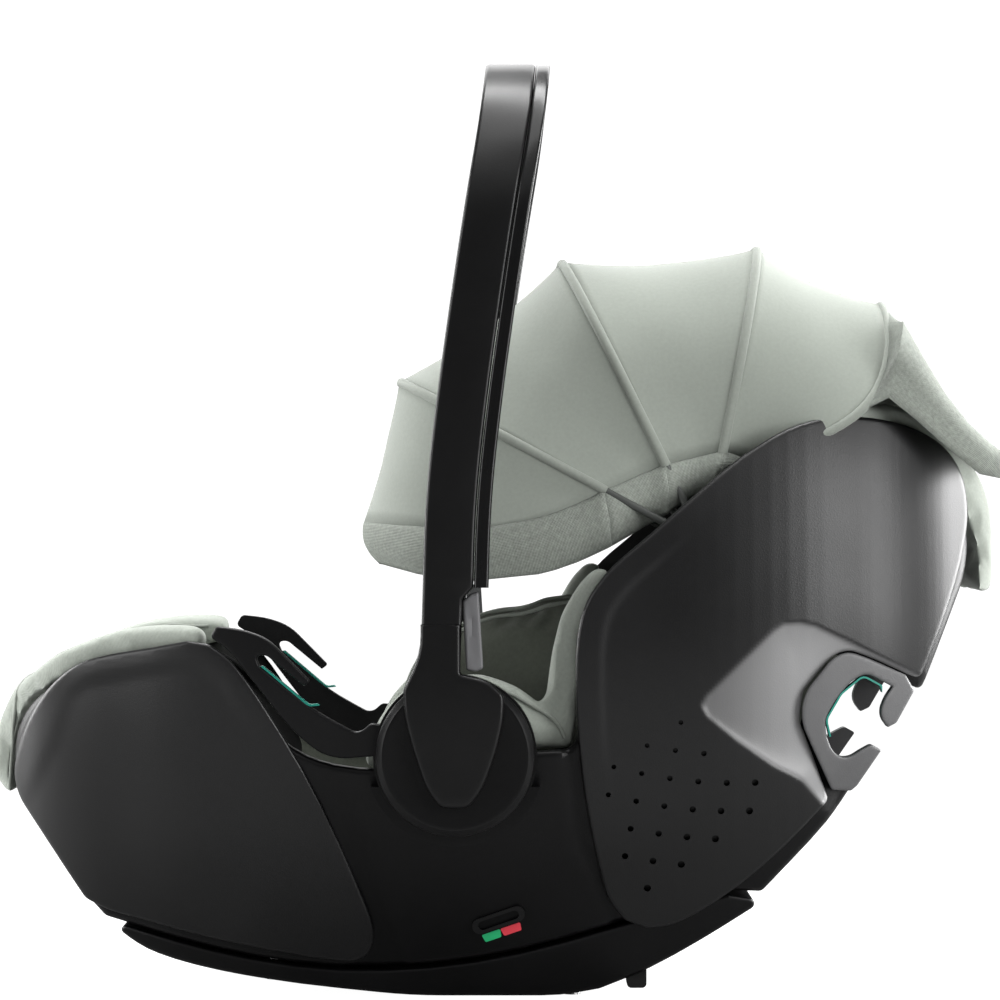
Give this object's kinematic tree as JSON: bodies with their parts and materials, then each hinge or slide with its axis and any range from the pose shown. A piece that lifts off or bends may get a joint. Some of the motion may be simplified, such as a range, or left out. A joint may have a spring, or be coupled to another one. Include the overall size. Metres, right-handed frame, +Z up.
{
  "type": "infant car seat",
  "caption": "Rear-facing infant car seat with a turning carry handle, folding hood, side covers, belt guides, harness and rocking base.",
  "frame": {"origin": "on the floor, below the middle of the whole seat's box", "axes": "+X to the head end, +Y from the baby's left to the right, +Z up"},
  "size_m": [0.675, 0.44, 0.6194],
  "materials": {
    "shell_black": "fine-grain satin",
    "cover_black": "fine-grain satin",
    "handle_black": "satin",
    "trim_black": "smooth",
    "foot_rubber": "matte",
    "trigger_grey": "satin",
    "liner_teal": "matte",
    "steel": "brushed",
    "bow_plastic": "smooth",
    "hood_fabric": "fine knit",
    "hood_twill": "twill",
    "seat_fabric": "soft knit",
    "foam_white": "moulded foam",
    "headrest_plastic": "satin",
    "buckle_black": "satin",
    "buckle_red": "smooth",
    "tongue_black": "satin",
    "webbing_black": "woven",
    "slider_white": "smooth",
    "mark_green": "smooth"
  },
  "bodies": {
    "carrier": {"backrest_cushion": "seat_fabric", "base_skid": "shell_black", "buckle_housing": "buckle_black", "buckle_tongues": "tongue_black", "canopy_bow_fixed": "bow_plastic", "canopy_pivot_pins": "shell_black", "canopy_tail": "hood_twill", "cover_screws": "steel", "crotch_strap": "webbing_black", "foam_lining": "foam_white", "foot_end_cover": "seat_fabric", "foot_side_cover_left": "cover_black", "foot_side_cover_right": "cover_black", "front_latch_bar": "steel", "head_end_cover": "seat_fabric", "head_side_cover_left": "cover_black", "head_side_cover_right": "cover_black", "hub_socket_left": "shell_black", "hub_socket_right": "shell_black", "lap_belt_guide_left": "shell_black", "lap_belt_guide_right": "shell_black", "lap_belt_liners": "liner_teal", "level_indicator_bezels": "trim_black", "level_marks_green": "mark_green", "level_marks_red": "buckle_red", "rear_feet": "foot_rubber", "rear_latch_bar": "steel", "seat_cushion": "seat_fabric", "seat_shell": "shell_black", "shoulder_belt_guide_left": "cover_black", "shoulder_belt_guide_right": "cover_black", "shoulder_belt_liners": "liner_teal", "shoulder_pad_left": "seat_fabric", "shoulder_pad_right": "seat_fabric", "shoulder_strap_left": "webbing_black", "shoulder_strap_right": "webbing_black", "side_wing_pad_left": "seat_fabric", "side_wing_pad_right": "seat_fabric"},
    "handle": {"handle_frame": "handle_black", "handle_trim": "trim_black", "hub_disc_left": "handle_black", "hub_disc_right": "handle_black", "hub_cover_left": "handle_black", "hub_cover_right": "handle_black", "handle_lock_rings": "handle_black"},
    "release_button_left": {"release_button_left": "trigger_grey"},
    "release_button_right": {"release_button_right": "trigger_grey"},
    "bow_rear": {"canopy_bow_rear": "bow_plastic", "canopy_panel_rear": "hood_fabric"},
    "bow_middle": {"canopy_bow_middle": "bow_plastic", "canopy_panel_middle": "hood_fabric"},
    "bow_front": {"canopy_bow_front": "bow_plastic", "canopy_panel_front": "hood_fabric", "canopy_visor": "hood_twill"},
    "headrest": {"headrest_shell": "headrest_plastic", "headrest_pad": "seat_fabric", "headrest_lever": "handle_black"},
    "buckle_button": {"buckle_button": "buckle_red"},
    "level_slider_left": {"level_slider_left": "slider_white"},
    "level_slider_right": {"level_slider_right": "slider_white"}
  },
  "joints": [
    {"name": "handle_swing", "type": "hinge", "parent": "carrier", "child": "handle", "pos_m": [-0.029, 0, 0.163], "axis": [0, 1, 0], "range_deg": [0, 100]},
    {"name": "release_press_left", "type": "slide", "parent": "handle", "child": "release_button_left", "axis": [1, 0, 0], "range_m": [-0.0035, 0], "stiffness_N_per_m": 900},
    {"name": "release_press_right", "type": "slide", "parent": "handle", "child": "release_button_right", "axis": [1, 0, 0], "range_m": [-0.0035, 0], "stiffness_N_per_m": 900},
    {"name": "canopy_fold", "type": "hinge", "parent": "carrier", "child": "bow_rear", "pos_m": [0.134, 0, 0.3], "axis": [0, 1, 0], "range_deg": [0, 16], "deforming": ["canopy_panel_rear"]},
    {"name": "canopy_fold_middle", "type": "hinge", "parent": "bow_rear", "child": "bow_middle", "pos_m": [0.134, 0, 0.3], "axis": [0, 1, 0], "range_deg": [0, 30.5], "deforming": ["canopy_panel_middle"]},
    {"name": "canopy_fold_front", "type": "hinge", "parent": "bow_middle", "child": "bow_front", "pos_m": [0.134, 0, 0.3], "axis": [0, 1, 0], "range_deg": [0, 29], "deforming": ["canopy_panel_front"]},
    {"name": "headrest_height", "type": "slide", "parent": "carrier", "child": "headrest", "axis": [0.7547, 0, 0.6561], "range_m": [0, 0.05]},
    {"name": "buckle_press", "type": "slide", "parent": "carrier", "child": "buckle_button", "axis": [-0.6561, 0, 0.7547], "range_m": [-0.003, 0], "stiffness_N_per_m": 1200},
    {"name": "level_slide_left", "type": "slide", "parent": "carrier", "child": "level_slider_left", "axis": [0.9421, 0, 0.3355], "range_m": [-0.005, 0.005], "stiffness_N_per_m": 20},
    {"name": "level_slide_right", "type": "slide", "parent": "carrier", "child": "level_slider_right", "axis": [0.9421, 0, 0.3355], "range_m": [-0.005, 0.005], "stiffness_N_per_m": 20}
  ],
  "couplings": [
    {"joint": "canopy_fold_middle", "follows": "canopy_fold", "ratio": 1.9},
    {"joint": "canopy_fold_front", "follows": "canopy_fold", "ratio": 1.8}
  ]
}
